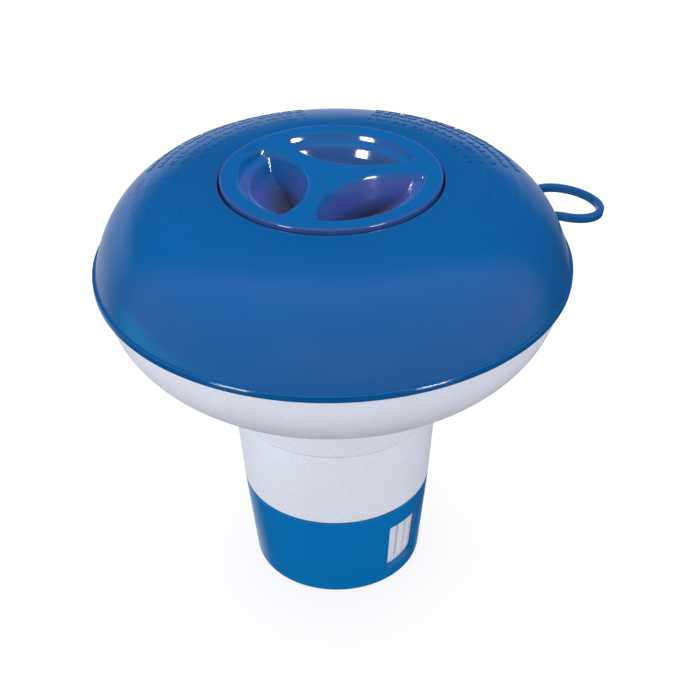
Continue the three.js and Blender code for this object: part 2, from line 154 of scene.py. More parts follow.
STEM_RADIUS = basket_high[0]
SPIGOT_RADIUS = 25.3
BASKET_TOP = basket_high[2]
BASKET_STEP = 28.3  # where the stem steps in to make room for the cup
BASKET_NECK_RADIUS = 25.15  # just under the step
BASKET_FOOT_RADIUS = 22.6
BASKET_FLOOR = 2.6
BOSS_RADIUS = 5.4
BOSS_HEIGHT = 1.9
HUB_RADIUS = 3.0
HUB_CLEARANCE = 0.4
HUB_OVERHANG = 1.1
HUB_HEAD_HEIGHT = 1.4
CUP_TOP = cup_high[2]
CUP_TOP_RADIUS = cup_high[0]
CUP_FOOT_RADIUS = 24.2
CUP_WALL = 1.3
CUP_FLOOR = 1.8
WINDOW_AZIMUTHS = (-40, 140)
WINDOW_SWEEP = 31  # degrees
WINDOW_BOTTOM = 4.5
WINDOW_TOP = 21.3
SLOTS_PER_WINDOW = 4
SLOT_PITCH = 9  # degrees
SLOT_WIDTH = 1.2
SLOT_MARGIN = 0.8
DRAIN_COUNT = 6
DRAIN_ORBIT = 14.5
DRAIN_RADIUS = 2.2  # in the basket; the cup's are wider
CUP_DRAIN_RADIUS = 2.6
PEG_ORBIT = 9.0
PEG_RADIUS = 1.1
PEG_CLEARANCE = 0.4
PEG_AZIMUTH = 180
FLOW_TRAVEL = 40  # degrees that the cup turns from open to shut
FLOW_SPARE = 9.5  # degrees that the cup's track runs past the peg at each end

LOOP_RADIUS = 11.1
LOOP_WIDTH = 2.0
LOOP_THICKNESS = 2.2
LOOP_DROOP = 10  # degrees below level
LOOP_ROOT = (-1.6, 6.9)  # how far inside the flange's edge the band starts, and to each side
LOOP_TURN = 126  # degrees round from the tip, where the ring ends and the band runs in
LOOP_FLARE = 0.7  # share by which the band widens at the flange

SMOOTH = 192  # points round a full turn


# ---- Outlines ----
def cubic(start, pull_a, pull_b, end, steps=18):
    """Points on a cubic curve between two points, with its two control points."""
    a, b, c, d = (np.array(p, float) for p in (start, pull_a, pull_b, end))
    t = np.linspace(0, 1, steps + 1)[:, None]
    return (1 - t) ** 3 * a + 3 * t * (1 - t) ** 2 * b + 3 * t**2 * (1 - t) * c + t**3 * d


def rounded(outline, closed=True, steps=5):
    """An outline whose (x, y, radius) corners are rounded; (x, y) corners stay as they are."""
    made = []
    for i, corner in enumerate(outline):
        here = np.array(corner[:2], float)
        at_end = not closed and i in (0, len(outline) - 1)
        if len(corner) < 3 or at_end:
            made.append(here)
            continue
        before = np.array(outline[i - 1][:2], float) - here
        after = np.array(outline[(i + 1) % len(outline)][:2], float) - here
        lengths = np.linalg.norm(before), np.linalg.norm(after)
        before, after = before / lengths[0], after / lengths[1]
        half_angle = math.acos(np.clip(before @ after, -1, 1)) / 2
        reach = min(corner[2] / math.tan(half_angle), 0.48 * min(lengths))
        for t in np.linspace(0, 1, steps + 1):
            toward, away = (1 - t) ** 2 * reach, t**2 * reach
            made.append(here + toward * before + away * after)
    return made


def circle(radius, steps, x=0.0, y=0.0):
    """Points round a circle."""
    angles = np.linspace(0, 2 * math.pi, steps, endpoint=False)
    return np.c_[x + radius * np.cos(angles), y + radius * np.sin(angles)]


# ---- Meshes ----
def skin(name, rings, closed=False):
    """A mesh over a row of rings of points. A ring of one point closes the mesh to a tip."""
    points, starts = [], []
    for ring in rings:
        starts.append(len(points))
        points.extend(map(tuple, ring))
    faces = []
    pairs = list(zip(range(len(rings)), range(1, len(rings))))
    if closed:
        pairs.append((len(rings) - 1, 0))
    for a, b in pairs:
        count = max(len(rings[a]), len(rings[b]))
        for k in range(count):
            n = (k + 1) % count
            face = [starts[a] + (k if len(rings[a]) > 1 else 0)]
            if len(rings[a]) > 1:
                face.append(starts[a] + n)
            if len(rings[b]) > 1:
                face.append(starts[b] + n)
            face.append(starts[b] + (k if len(rings[b]) > 1 else 0))
            faces.append(face)
    mesh = bpy.data.meshes.new(name)
    mesh.from_pydata(points, [], faces)
    work = bmesh.new()
    work.from_mesh(mesh)
    bmesh.ops.recalc_face_normals(work, faces=work.faces)
    work.to_mesh(mesh)
    work.free()
    piece = bpy.data.objects.new(name, mesh)
    bpy.context.scene.collection.objects.link(piece)
    return piece


def turned(name, outline, segments=SMOOTH):
    """An outline of (radius, z) points, turned about the axis."""
    angles = np.linspace(0, 2 * math.pi, segments, endpoint=False)
    rings = []
    for radius, z in outline:
        if radius < 1e-6:
            rings.append([(0, 0, z)])
        else:
            rings.append([(radius * math.cos(a), radius * math.sin(a), z) for a in angles])
    on_axis = len(rings[0]) == 1 and len(rings[-1]) == 1
    return skin(name, rings, closed=not on_axis)


def upright(name, outline, low, high):
    """A prism on an outline of (x, y) points, between two heights."""
    x, y = np.mean(outline, axis=0)
    rings = [[(x, y, low)]]
    rings += [[(px, py, z) for px, py in outline] for z in (low, high)]
    return skin(name, rings + [[(x, y, high)]])


def porthole(name, azimuth, outline, inner, outer):
    """A prism that points away from the axis, on an outline of (degrees, z) points."""

    def at(radius, degrees, z):
        angle = math.radians(azimuth + degrees)
        return radius * math.cos(angle), radius * math.sin(angle), z

    middle = np.mean(outline, axis=0)
    rings = [[at(inner, *middle)]]
    rings += [[at(radius, *point) for point in outline] for radius in (inner, outer)]
    return skin(name, rings + [[at(outer, *middle)]])


def thread_block(name, inner, outer, start, sweep, bottom):
    """One ledge or lug of the thread: a rounded bar that climbs round the axis."""
    section = rounded(
        [
            (inner, 0, THREAD_EDGE),
            (outer, 0, THREAD_EDGE),
            (outer, THREAD_HEIGHT, THREAD_EDGE),
            (inner, THREAD_HEIGHT, THREAD_EDGE),
        ],
        steps=3,
    )
    centre = np.mean(section, axis=0)
    steps = max(12, int(sweep / 2))
    rings = []
    for k in range(steps + 1):
        share = k / steps
        angle = math.radians(start + sweep * share)
        climb = bottom + THREAD_LEAD * sweep * share / 360
        ring = [(r * math.cos(angle), r * math.sin(angle), climb + z) for r, z in section]
        tip = [(centre[0] * math.cos(angle), centre[0] * math.sin(angle), climb + centre[1])]
        if k == 0:
            rings.append(tip)
        rings.append(ring)
        if k == steps:
            rings.append(tip)
    return skin(name, rings)


def combine(piece, tool, operation):
    """Cuts tool from piece, or joins it on, and removes tool."""
    modifier = piece.modifiers.new("combine", "BOOLEAN")
    modifier.operation = operation
    modifier.solver = "EXACT"
    modifier.object = tool
    evaluated = piece.evaluated_get(bpy.context.evaluated_depsgraph_get())
    mesh = bpy.data.meshes.new_from_object(evaluated)
    piece.modifiers.clear()
    piece.data = mesh
    bpy.data.objects.remove(tool)
    return piece


def place(piece, body, material, replaced=(), sharp=35):
    """Turns a finished piece into metres, gives it its body and material, and hides the CAD parts it
    replaces.
    """
    piece.data.transform(Matrix.Scale(MM, 4))
    piece.data.materials.clear()
    piece.data.materials.append(material)
    for face in piece.data.polygons:
        face.use_smooth = True
    piece.data.set_sharp_from_angle(angle=math.radians(sharp))
    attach(piece, body)
    if replaced:
        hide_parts(*replaced)
    return piece


# ---- Materials ----
class Graph:
    """The nodes of a material or a world, added one at a time and joined by name."""

    def __init__(self, owner, coordinates="Object"):
        owner.use_nodes = True
        self.owner = owner
        self.tree = owner.node_tree
        self.shader = self.tree.nodes.get("Principled BSDF")
        self.place = self.add("ShaderNodeTexCoord").outputs[coordinates]

    def add(self, kind, **settings):
        node = self.tree.nodes.new(kind)
        for key, value in settings.items():
            setattr(node, key, value)
        return node

    def link(self, output, node, socket):
        self.tree.links.new(output, node.inputs[socket])

    def stretched(self, scale):
        node = self.add("ShaderNodeMapping")
        node.inputs["Scale"].default_value = scale
        self.link(self.place, node, "Vector")
        return node.outputs["Vector"]

    def noise(self, scale, detail=2.0, roughness=0.5, vector=None):
        node = self.add("ShaderNodeTexNoise")
        node.inputs["Scale"].default_value = scale
        node.inputs["Detail"].default_value = detail
        node.inputs["Roughness"].default_value = roughness
        self.link(vector or self.place, node, "Vector")
        return node.outputs["Fac"]

    def ramp(self, value, *stops):
        """Colours or greys along a value: each stop is (position, colour)."""
        node = self.add("ShaderNodeValToRGB")
        marks = node.color_ramp.elements
        while len(marks) < len(stops):
            marks.new(0.5)
        for mark, (position, colour) in zip(marks, stops):
            mark.position = position
            if isinstance(colour, (int, float)):
                colour = (colour, colour, colour)
            mark.color = (*colour, 1)
        self.link(value, node, "Fac")
        return node.outputs["Color"]

    def mix(self, factor, a, b, blend="MIX"):
        node = self.add("ShaderNodeMix", data_type="RGBA", blend_type=blend)
        for socket, value in ((0, factor), (6, a), (7, b)):
            if isinstance(value, bpy.types.NodeSocket):
                self.tree.links.new(value, node.inputs[socket])
            elif isinstance(value, tuple):
                node.inputs[socket].default_value = (*value, 1)
            else:
                node.inputs[socket].default_value = value
        return node.outputs[2]

    def axis(self, letter):
        node = self.add("ShaderNodeSeparateXYZ")
        self.link(self.place, node, "Vector")
        return node.outputs[letter]

    def span(self, value, low, high, kind="LINEAR"):
        """A value from 0 to 1 as another goes from low to high."""
        node = self.add("ShaderNodeMapRange", interpolation_type=kind)
        node.inputs["From Min"].default_value = low
        node.inputs["From Max"].default_value = high
        self.link(value, node, "Value")
        return node.outputs["Result"]

    def bump(self, height, distance, strength=1.0, normal=None):
        node = self.add("ShaderNodeBump")
        node.inputs["Distance"].default_value = distance
        node.inputs["Strength"].default_value = strength
        self.link(height, node, "Height")
        if normal is not None:
            self.link(normal, node, "Normal")
        return node.outputs["Normal"]

    def finish(self, colour, roughness, normal, **fixed):
        self.link(colour, self.shader, "Base Color")
        self.link(roughness, self.shader, "Roughness")
        self.link(normal, self.shader, "Normal")
        for socket, value in fixed.items():
            self.shader.inputs[socket.replace("_", " ")].default_value = value
        return self.owner


def gloss_blue(name, open_blue, hollow_shades=None, shaded=None):
    """Glossy moulded polypropylene: a slow drift of tone, a faint ripple and hairline wear.

    The hollow shades are (height, front shade, back shade), lowest first: painted shade that deepens
    the tone below the top, violet towards the front and bluer towards the back.
    Shaded is a pair of radii: between them lies the gap round the lid, which gets a painted shade of
    its own.
    """
    g = Graph(bpy.data.materials.new(name))
    dimmer = tuple(0.93 * c for c in open_blue)
    drift = g.ramp(g.noise(22, detail=3), (0.3, dimmer), (0.7, open_blue))
    colour = drift
    radius = g.add("ShaderNodeVectorMath", operation="LENGTH")
    g.link(g.stretched((1, 1, 0)), radius, 0)
    # Painted shade in the wells: deeper lower down, violet towards the front and bluer towards the
    # back.
    if hollow_shades:
        back = g.span(g.axis("Y"), 2 * MM, 10 * MM)
        for (low, front_shade, back_shade), (high, _, _) in zip(hollow_shades[-2::-1], hollow_shades[:0:-1]):
            tone = g.mix(back, front_shade, back_shade)
            colour = g.mix(g.span(g.axis("Z"), high * MM, low * MM), colour, tone)
        above_cone = g.add("ShaderNodeMath", operation="MULTIPLY_ADD")
        g.link(radius.outputs["Value"], above_cone, 0)
        above_cone.inputs[1].default_value = -WELL_CONE_SLOPE
        g.link(g.axis("Z"), above_cone, 2)
        tip = LID_TOP - WELL_CONE_DEPTH
        underside = g.span(above_cone.outputs["Value"], tip * MM, (tip - GAP) * MM)
        colour = g.mix(underside, colour, drift)
    # Painted shade in the gap round the lid, on both the dome and the lid.
    if shaded:
        inner, outer = shaded
        inside = g.span(radius.outputs["Value"], (outer + GAP) * MM, (outer - GAP) * MM)
        outside = g.span(radius.outputs["Value"], (inner - GAP) * MM, inner * MM)
        colour = g.mix(g.mix(1.0, inside, outside, "MULTIPLY"), colour, GAP_SHADE_BLUE)
    hairlines = g.noise(1.0, detail=4, roughness=0.7, vector=g.stretched((60, 900, 400)))
    roughness = g.ramp(hairlines, (0.35, 0.08), (0.75, 0.17))
    ripple = g.bump(g.noise(140, detail=1), 0.00008)
    grain = g.bump(g.noise(2600, detail=2), 0.000012, normal=ripple)
    return g.finish(colour, roughness, grain, IOR=1.49)


def matte_white(name):
    """Fine-grained matt white: grains under half a millimetre that differ in tone."""
    g = Graph(bpy.data.materials.new(name))
    speck = g.noise(2200, detail=3, roughness=0.75)
    dark, middle, light = (0.74, 0.775, 0.86), (0.80, 0.835, 0.92), (0.86, 0.89, 0.96)
    tint = g.ramp(speck, (0.34, dark), (0.5, middle), (0.66, light))
    cloud = g.ramp(g.noise(35, detail=3), (0.3, 0.95), (0.7, 1.0))
    colour = g.mix(1.0, tint, cloud, "MULTIPLY")
    roughness = g.ramp(speck, (0.3, 0.52), (0.7, 0.66))
    normal = g.bump(speck, 0.00004, 0.5)
    return g.finish(colour, roughness, normal, IOR=1.49)


def seal_rubber(name):
    """Dark rubber with a faint grey bloom."""
    g = Graph(bpy.data.materials.new(name))
    bloom = g.ramp(g.noise(90, detail=4), (0.3, (0.02, 0.021, 0.024)), (0.75, (0.045, 0.047, 0.05)))
    roughness = g.ramp(g.noise(400), (0.3, 0.62), (0.7, 0.78))
    normal = g.bump(g.noise(1800, detail=3), 0.00005)
    return g.finish(bloom, roughness, normal)


def pressed_powder(name):
    """Compressed granules, with darker pores between them."""
    g = Graph(bpy.data.materials.new(name))
    cells = g.add("ShaderNodeTexVoronoi")
    cells.inputs["Scale"].default_value = 1300
    g.link(g.place, cells, "Vector")
    grains = cells.outputs["Distance"]
    colour = g.ramp(grains, (0.0, (0.90, 0.91, 0.88)), (0.75, (0.80, 0.81, 0.77)))
    roughness = g.ramp(grains, (0.0, 0.82), (0.8, 0.95))
    pits = g.bump(g.noise(600, detail=5, roughness=0.7), 0.00025)
    return g.finish(colour, roughness, g.bump(grains, 0.00012, normal=pits))


FLOAT_BLUE = (0.0012, 0.086, 0.278)
# Painted shade of the lid's wells: violet towards the front, bluer where the back well's wall is
# lit, near black at the bottoms.
WELL_FRONT_SHADE_BLUE = (0.042, 0.073, 0.285)
WELL_BACK_LIT_BLUE = (0.010, 0.088, 0.280)
WELL_SHADE = (0.030, 0.032, 0.07)
# Painted shade in the gap round the lid.
GAP_SHADE_BLUE = (0.028, 0.070, 0.24)
CUP_BLUE = (0.0008, 0.172, 0.47)
LID_HOLLOW_SHADES = (  # height, painted shade towards the front, painted shade towards the back
    (LID_TOP - 9.2, WELL_SHADE, WELL_SHADE),
    (LID_TOP - 5.6, WELL_FRONT_SHADE_BLUE, WELL_BACK_LIT_BLUE),
    (LID_TOP - 2.6, WELL_FRONT_SHADE_BLUE, WELL_BACK_LIT_BLUE),
    (LID_TOP - 0.5, FLOAT_BLUE, FLOAT_BLUE),
)
LID_GAP = LID_RADIUS - 0.3, SEAT_RADIUS + 0.5  # radii, a little past both walls of the gap
# Both blues carry the painted shade of the gap round the lid; the lid's also carries the painted
# shade of its wells.
blue = gloss_blue("float_blue", FLOAT_BLUE, shaded=LID_GAP)
lid_blue = gloss_blue("lid_blue", FLOAT_BLUE, LID_HOLLOW_SHADES, LID_GAP)
cup_blue = gloss_blue("cup_blue", CUP_BLUE)
white = matte_white("shell_white")
rubber = seal_rubber("seal_rubber")
powder = pressed_powder("pressed_chlorine")

# ---- Float ----
dome_curve = cubic(
    (FLANGE_RADIUS - FLANGE_LEDGE, FLANGE_TOP), *DOME_PULL, (DOME_CROWN_RADIUS, DOME_TOP), 48
)


def thread_ring(piece, inner, outer, start, sweep, bottom):
    """Joins the ledges or lugs of every start of the thread onto a piece."""
    for k in range(THREAD_STARTS):
        turn = start + 360 / THREAD_STARTS * k
        block = thread_block("thread", inner, outer, turn, sweep, bottom)
        combine(piece, block, "UNION")


def build_dome():
    """Blue upper shell in one moulding: dome, flange, the lid's seat and the throat."""
    inner = cubic(
        (SEAT_RADIUS + WALL, DOME_TOP - WALL),
        *DOME_INNER_PULL,
        (DOME_INNER_FOOT, FLANGE_TOP),
        20,
    )
    tube_outer = THROAT_RADIUS + THROAT_WALL
    seat_underside = SEAT_HEIGHT - THROAT_WALL
    outline = rounded(
        [
            (DOME_INNER_FOOT, FLANGE_BOTTOM),
            (FLANGE_RADIUS, FLANGE_BOTTOM, 0.45),
            (FLANGE_RADIUS, FLANGE_TOP, 0.7),
            (FLANGE_RADIUS - FLANGE_LEDGE, FLANGE_TOP, 0.15),
            *map(tuple, dome_curve[1:]),
            (SEAT_RADIUS, DOME_TOP, 1.0),
            (SEAT_RADIUS, SEAT_HEIGHT, 0.3),
            (THROAT_RADIUS, SEAT_HEIGHT, 0.5),
            (THROAT_RADIUS, THROAT_BOTTOM, 0.4),
            (tube_outer, THROAT_BOTTOM, 0.4),
            (tube_outer, seat_underside, 0.5),
            (SEAT_RADIUS + WALL, seat_underside, 0.5),
            *map(tuple, inner),
        ]
    )
    dome = turned("dome", outline)
    thread_ring(dome, LEDGE_INNER_RADIUS, THROAT_RADIUS + ROOT, 0, LEDGE_SWEEP, LEDGE_BOTTOM)
    return place(dome, "float", blue, ["float_dome"])


def on_dome(radius):
    """A point of the dome's curve at that radius, and the outward normal there, in (r, z)."""
    curve = dome_curve[::-1]
    z = np.interp(radius, curve[:, 0], curve[:, 1])
    step = 0.2
    rise = np.interp(radius + step, curve[:, 0], curve[:, 1]) - z
    normal = np.array([-rise, step]) / math.hypot(rise, step)
    return np.array([radius, z]), normal


def dash_rings(radius, start, sweep, width, proud):
    """One raised dash that lies along the dome, as rings of points across it."""
    rings = []
    steps = max(2, int(sweep / 0.8))
    section = []
    for side, height in ((-0.5, -0.1), (-0.42, proud), (0.42, proud), (0.5, -0.1)):
        point, normal = on_dome(radius + side * width)
        section.append(point + normal * height)
    centre = np.mean(section, axis=0)

    def at(point, angle):
        return point[0] * math.cos(angle), point[0] * math.sin(angle), point[1]

    for k in range(steps + 1):
        angle = math.radians(start + sweep * k / steps)
        if k == 0:
            rings.append([at(centre, angle)])
        rings.append([at(point, angle) for point in section])
        if k == steps:
            rings.append([at(centre, angle)])
    return rings


def build_raised_rows():
    """Rows of plain raised dashes round the shoulder of the dome."""
    rows = [
        # first and last azimuth, innermost radius, number of rows, height of the dashes
        (12, 74, 37.0, 5, 0.22),
        (100, 164, 37.0, 5, 0.14),
        (169, 203, 40.5, 4, 0.07),
        (-28, 7, 40.5, 4, 0.07),
        (-129, -62, 44.0, 2, 0.035),
    ]
    pitch, width = 3.4, 1.5
    random = np.random.default_rng(7)
    work = bmesh.new()
    for first, last, innermost, count, proud in rows:
        for row in range(count):
            radius = innermost + pitch * row
            at = first
            while at < last:
                sweep = math.degrees(random.uniform(0.9, 3.2) / radius)
                rings = dash_rings(radius, at, min(sweep, last - at), width, proud)
                dash = skin("dash", rings)
                work.from_mesh(dash.data)
                bpy.data.objects.remove(dash)
                space = random.choice([0.7, 0.7, 0.7, 1.8])  # mostly narrow, now and then wide
                at += sweep + math.degrees(space / radius)
    mesh = bpy.data.meshes.new("raised_rows")
    work.to_mesh(mesh)
    work.free()
    rows_piece = bpy.data.objects.new("raised_rows", mesh)
    bpy.context.scene.collection.objects.link(rows_piece)
    return place(rows_piece, "float", blue)


def build_hull():
    """White lower shell: a bowl with a tongue inside the dome's foot and a collar below."""
    width = HULL_RIM_RADIUS - HULL_FLOOR_RADIUS
    depth = HULL_SIDE_BOTTOM - HULL_FLOOR
    fillet_r = COLLAR_TOP_RADIUS + HULL_FILLET
    end = math.acos((fillet_r - HULL_FLOOR_RADIUS) / width)

    def bowl(inset, steps):
        angles = np.linspace(0, end, steps)
        r = HULL_FLOOR_RADIUS + (width - inset) * np.cos(angles)
        return np.c_[r, HULL_SIDE_BOTTOM - (depth - inset) * np.sin(angles)]

    outside, inside = bowl(0, 40), bowl(WALL, 24)[::-1]
    fillet_z = outside[-1][1] - HULL_FILLET
    angles = np.linspace(math.pi / 2, math.pi, 10)[1:]
    fillet = np.c_[fillet_r + HULL_FILLET * np.cos(angles), fillet_z + HULL_FILLET * np.sin(angles)]
    rim_top = FLANGE_BOTTOM - GAP
    tongue_outer = HULL_RIM_RADIUS - TONGUE_INSET
    tongue_inner = tongue_outer - TONGUE_WALL
    socket = SPIGOT_RADIUS + GAP
    ledge_top = THROAT_BOTTOM - GAP
    tube_seat = THROAT_RADIUS + THROAT_WALL + GAP
    outline = rounded(
        [
            (HULL_RIM_RADIUS, rim_top, 0.3),
            *map(tuple, outside),
            *map(tuple, fillet),
            (COLLAR_RADIUS, COLLAR_BOTTOM, 0.35),
            (socket, COLLAR_BOTTOM, 0.2),
            (socket, BASKET_TOP + GAP),
            (THROAT_RADIUS, BASKET_TOP + GAP, 0.3),
            (THROAT_RADIUS, ledge_top, 0.3),
            (tube_seat, ledge_top),
            (tube_seat, HULL_FLOOR + WALL, 0.3),
            *map(tuple, inside),
            (tongue_inner, rim_top),
            (tongue_inner, hull_high[2], 0.3),
            (tongue_outer, hull_high[2], 0.3),
            (tongue_outer, rim_top),
        ]
    )
    hull = turned("hull", outline)
    return place(hull, "float", white, ["float_hull"])


def build_loop():
    """The tie-down loop: a flat rounded band that runs out of the flange's edge and back."""
    azimuth = math.atan2(eye_centre[1], eye_centre[0])
    level = (FLANGE_BOTTOM + FLANGE_TOP) / 2
    reach = math.hypot(eye_centre[0], eye_centre[1]) - FLANGE_RADIUS
    out = reach / math.cos(math.radians(LOOP_DROOP))
    mid_radius = LOOP_RADIUS - LOOP_WIDTH / 2
    turn = math.radians(LOOP_TURN)
    ring_angles = np.linspace(-turn, turn, 72)
    ring = np.c_[out + mid_radius * np.cos(ring_angles), mid_radius * np.sin(ring_angles)]
    lead_in = ring[0] - 2.0 * (ring[1] - ring[0]) / np.linalg.norm(ring[1] - ring[0])
    start = np.array(LOOP_ROOT) * (1, -1)
    approach = cubic(start, (start + lead_in) / 2, lead_in, ring[0], 10)
    path = np.vstack([approach[:-1], ring, (approach[:-1] * (1, -1))[::-1]])
    tangents = np.gradient(path, axis=0)
    tangents /= np.linalg.norm(tangents, axis=1)[:, None]
    sides = np.c_[tangents[:, 1], -tangents[:, 0]]
    section = rounded(
        [
            (x * LOOP_WIDTH / 2, z * LOOP_THICKNESS / 2, 0.45)
            for x, z in ((-1, -1), (1, -1), (1, 1), (-1, 1))
        ]
    )
    rings = []
    for point, side in zip(path, sides):
        flare = 1 + LOOP_FLARE * max(0, 1 - max(point[0], 0) / 2.0) ** 2
        rings.append([(*(point + side * x * flare), z * min(flare, 1.05)) for x, z in section])
    rings = [[(*path[0], 0)], *rings, [(*path[-1], 0)]]
    loop = skin("tie_down_loop", rings)
    droop = Matrix.Rotation(math.radians(LOOP_DROOP), 4, "Y")
    stand = Matrix.Translation((FLANGE_RADIUS, 0, level))
    loop.data.transform(Matrix.Rotation(azimuth, 4, "Z") @ stand @ droop)
    return place(loop, "float", blue, ["tether_loop"])


# ---- Lid ----
def smooth_min(a, b, blend):
    """The lesser of two heights, with the edge between them rounded over the blend."""
    share = np.maximum(blend - np.abs(a - b), 0) / blend
    return np.minimum(a, b) - share**2 * blend / 4


def well_depth(x, y):
    """How deep the finger wells are below the lid's top, with soft edges."""
    radius = np.hypot(x, y)
    bowl = np.interp(radius, *zip(*WELL_FLOOR))
    orbit = WELL_INNER_REACH + WELL_INNER_ARC
    deepest = np.full_like(radius, -9.0)
    for azimuth in WELL_AZIMUTHS:
        angle = math.radians(azimuth)
        away = np.hypot(x - orbit * math.cos(angle), y - orbit * math.sin(angle))
        side = (WELL_INNER_ARC - away) * WELL_DRAFT
        deepest = np.maximum(deepest, smooth_min(bowl, side, 0.6))
    return -smooth_min(-deepest, np.zeros_like(deepest), 0.7)


def build_lid():
    """Twist lid: a disc with three finger wells that leave a three-armed grip, and a skirt."""
    count = 360
    angles = np.linspace(0, 2 * math.pi, count, endpoint=False)
    cos, sin = np.cos(angles), np.sin(angles)

    def ring(radius, z):
        return np.c_[radius * cos, radius * sin, np.broadcast_to(z, angles.shape)]

    def top(radius):
        return LID_TOP - well_depth(radius * cos, radius * sin)

    def under(radius):
        return np.minimum(LID_UNDERSIDE, top(radius) - WELL_SHELL)

    inner = SKIRT_RADIUS - SKIRT_WALL
    edge = rounded(
        [
            (LID_FLAT_RADIUS, LID_TOP),
            (LID_RADIUS, LID_TOP, 0.5),
            (LID_RADIUS, LID_UNDERSIDE, 0.35),
            (SKIRT_RADIUS, LID_UNDERSIDE, 0.3),
            (SKIRT_RADIUS, SKIRT_BOTTOM, 0.5),
            (inner, SKIRT_BOTTOM, 0.5),
            (inner, SKIRT_BOTTOM + 2),
        ],
        closed=False,
    )
    # Closer rings where the wells' outer wall and its lip bend.
    coarse, wall, lip = 0.24, 0.09, 0.07
    radii = np.r_[
        0.4:19.4:coarse, 19.4:21.2:wall, 21.2:23.4:coarse, 23.4:24.5:lip, 24.5:27.4:coarse
    ]
    rings = [[(0, 0, LID_TOP)]]
    rings += [ring(radius, top(radius)) for radius in radii]
    rings += [ring(radius, z) for radius, z in edge]
    rings.append(ring(inner, under(inner)))
    rings += [ring(radius, under(radius)) for radius in np.arange(inner - 0.6, 0.5, -0.6)]
    rings.append([(0, 0, LID_UNDERSIDE)])
    lid = skin("twist_lid", rings)
    climb = THREAD_LEAD * LUG_START / 360
    bottom = LEDGE_BOTTOM + climb - (THREAD_CLEARANCE + THREAD_HEIGHT)
    thread_ring(lid, SKIRT_RADIUS - ROOT, LUG_OUTER_RADIUS, LUG_START, LUG_SWEEP, bottom)
    return place(lid, "lid", lid_blue, ["lid"])


def build_lid_arrow():
    """A small raised arrow on the lid's rim that points the way the lid is turned to close."""
    radius, proud, sunk = 26.4, 0.16, 0.1
    middle = math.radians(146)
    half = [(-2.6, -0.35), (0.6, -0.35), (0.6, -1.1)]
    outline = [*half, (2.8, 0.0), *((along, -across) for along, across in half[::-1])]
    rings = []

    def at(along, across, z):
        angle = middle - along / radius
        return (radius + across) * math.cos(angle), (radius + across) * math.sin(angle), z

    soft = rounded([(*p, 0.2) for p in outline], steps=3)
    low, high = LID_TOP - sunk, LID_TOP + proud
    for z in (low, high):
        rings.append([at(*p, z) for p in soft])
    rings = [[at(1.0, 0, low)], *rings, [at(1.0, 0, high)]]
    return place(skin("lid_arrow", rings), "lid", lid_blue)


def build_gasket():
    """Flat ring seal between the lid and its seat."""
    inner, outer = GASKET_INNER_RADIUS, seal_high[0]
    low, high = seal_low[2], seal_high[2]
    corners_at = ((inner, low), (outer, low), (outer, high), (inner, high))
    outline = rounded([(r, z, 0.3) for r, z in corners_at])
    return place(turned("lid_seal_ring", outline), "lid_seal", rubber, ["lid_gasket"])


# ---- Stem and flow cup ----
def long_hole(half_width, low, high, radius):
    """The outline of a hole with rounded corners, as (degrees, z) points."""
    corners_at = ((-half_width, low), (half_width, low), (half_width, high), (-half_width, high))
    return rounded([(x, z, radius) for x, z in corners_at], steps=4)


def drill(piece, radius, low, high):
    """Cuts the ring of drain holes."""
    for k in range(DRAIN_COUNT):
        angle = 2 * math.pi * k / DRAIN_COUNT
        at = DRAIN_ORBIT * math.cos(angle), DRAIN_ORBIT * math.sin(angle)
        combine(piece, upright("drain", circle(radius, 32, *at), low, high), "DIFFERENCE")


def arc_prism(inner, outer, first, last, low, high):
    """A curved slot's cutting shape, between two radii, two azimuths and two heights."""
    rings = []
    angles = np.radians(np.linspace(first, last, 24))
    section = ((outer, low), (inner, low), (inner, high), (outer, high))
    for angle in angles:
        across = math.cos(angle), math.sin(angle)
        rings.append([(r * across[0], r * across[1], z) for r, z in section])
    ends = [[tuple(np.mean(ring, axis=0))] for ring in (rings[0], rings[-1])]
    return skin("track", [ends[0], *rings, ends[1]])


def build_stem():
    """White tube that holds the tablets: a spigot in the hull's collar, and a slotted foot."""
    bore = HUB_RADIUS + HUB_CLEARANCE
    inside = SPIGOT_RADIUS - WALL
    floor_top = BASKET_FLOOR + WALL
    shoulder = COLLAR_BOTTOM - GAP
    outline = rounded(
        [
            (bore, BASKET_FLOOR, 0.3),
            (BASKET_FOOT_RADIUS, BASKET_FLOOR, 0.6),
            (BASKET_NECK_RADIUS, BASKET_STEP),
            (CUP_TOP_RADIUS, BASKET_STEP, 0.3),
            (STEM_RADIUS, shoulder, 0.35),
            (SPIGOT_RADIUS, shoulder),
            (SPIGOT_RADIUS, BASKET_TOP, 0.5),
            (inside, BASKET_TOP, 0.5),
            (inside, BASKET_STEP + 1, 2.0),
            (BASKET_FOOT_RADIUS - WALL + 0.4, floor_top, 1.2),
            (BOSS_RADIUS, floor_top, 0.4),
            (BOSS_RADIUS, floor_top + BOSS_HEIGHT, 0.4),
            (bore, floor_top + BOSS_HEIGHT, 0.3),
        ]
    )
    stem = turned("tablet_stem", outline)
    half = math.degrees(SLOT_WIDTH / BASKET_FOOT_RADIUS) / 2
    hole = long_hole(half, WINDOW_BOTTOM + SLOT_MARGIN, WINDOW_TOP - SLOT_MARGIN, 0.6)
    for azimuth in WINDOW_AZIMUTHS:
        for k in range(SLOTS_PER_WINDOW):
            middle = azimuth + (k - (SLOTS_PER_WINDOW - 1) / 2) * SLOT_PITCH
            combine(stem, porthole("slot", middle, hole, 17.5, 27.0), "DIFFERENCE")
    drill(stem, DRAIN_RADIUS, BASKET_FLOOR - PAST, floor_top + PAST)
    angle = math.radians(PEG_AZIMUTH)
    at = PEG_ORBIT * math.cos(angle), PEG_ORBIT * math.sin(angle)
    peg = upright("peg", circle(PEG_RADIUS, 24, *at), basket_low[2], BASKET_FLOOR + ROOT)
    combine(stem, peg, "UNION")
    return place(stem, "float", white, ["stem_basket"])


